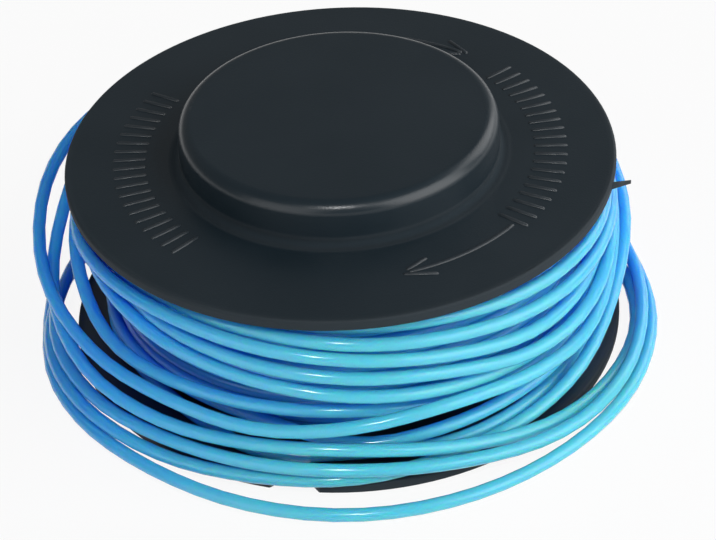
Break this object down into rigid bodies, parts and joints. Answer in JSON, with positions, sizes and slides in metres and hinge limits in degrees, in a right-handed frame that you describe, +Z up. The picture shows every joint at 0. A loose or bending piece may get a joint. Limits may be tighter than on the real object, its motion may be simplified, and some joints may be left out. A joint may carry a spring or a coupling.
{
  "type": "trimmer line spool",
  "caption": "Moulded flanged spool with a closed boss and a keyed hub, loosely wound with round nylon cutting line for a grass trimmer.",
  "frame": {"origin": "on the spool's axis, at the underside of the lower flange, which is the face it stands on", "axes": "+Z up along the axis through the closed boss, -Y towards the picture's viewpoint, +X to the viewer's right"},
  "size_m": [0.0727, 0.0733, 0.028],
  "materials": {
    "spool_plastic": "fine matte moulded texture",
    "nylon_line": "smooth, slightly translucent"
  },
  "bodies": {
    "root": {"spool": "spool_plastic", "wound_line": "nylon_line", "sprung_turns": "nylon_line"}
  },
  "joints": []
}
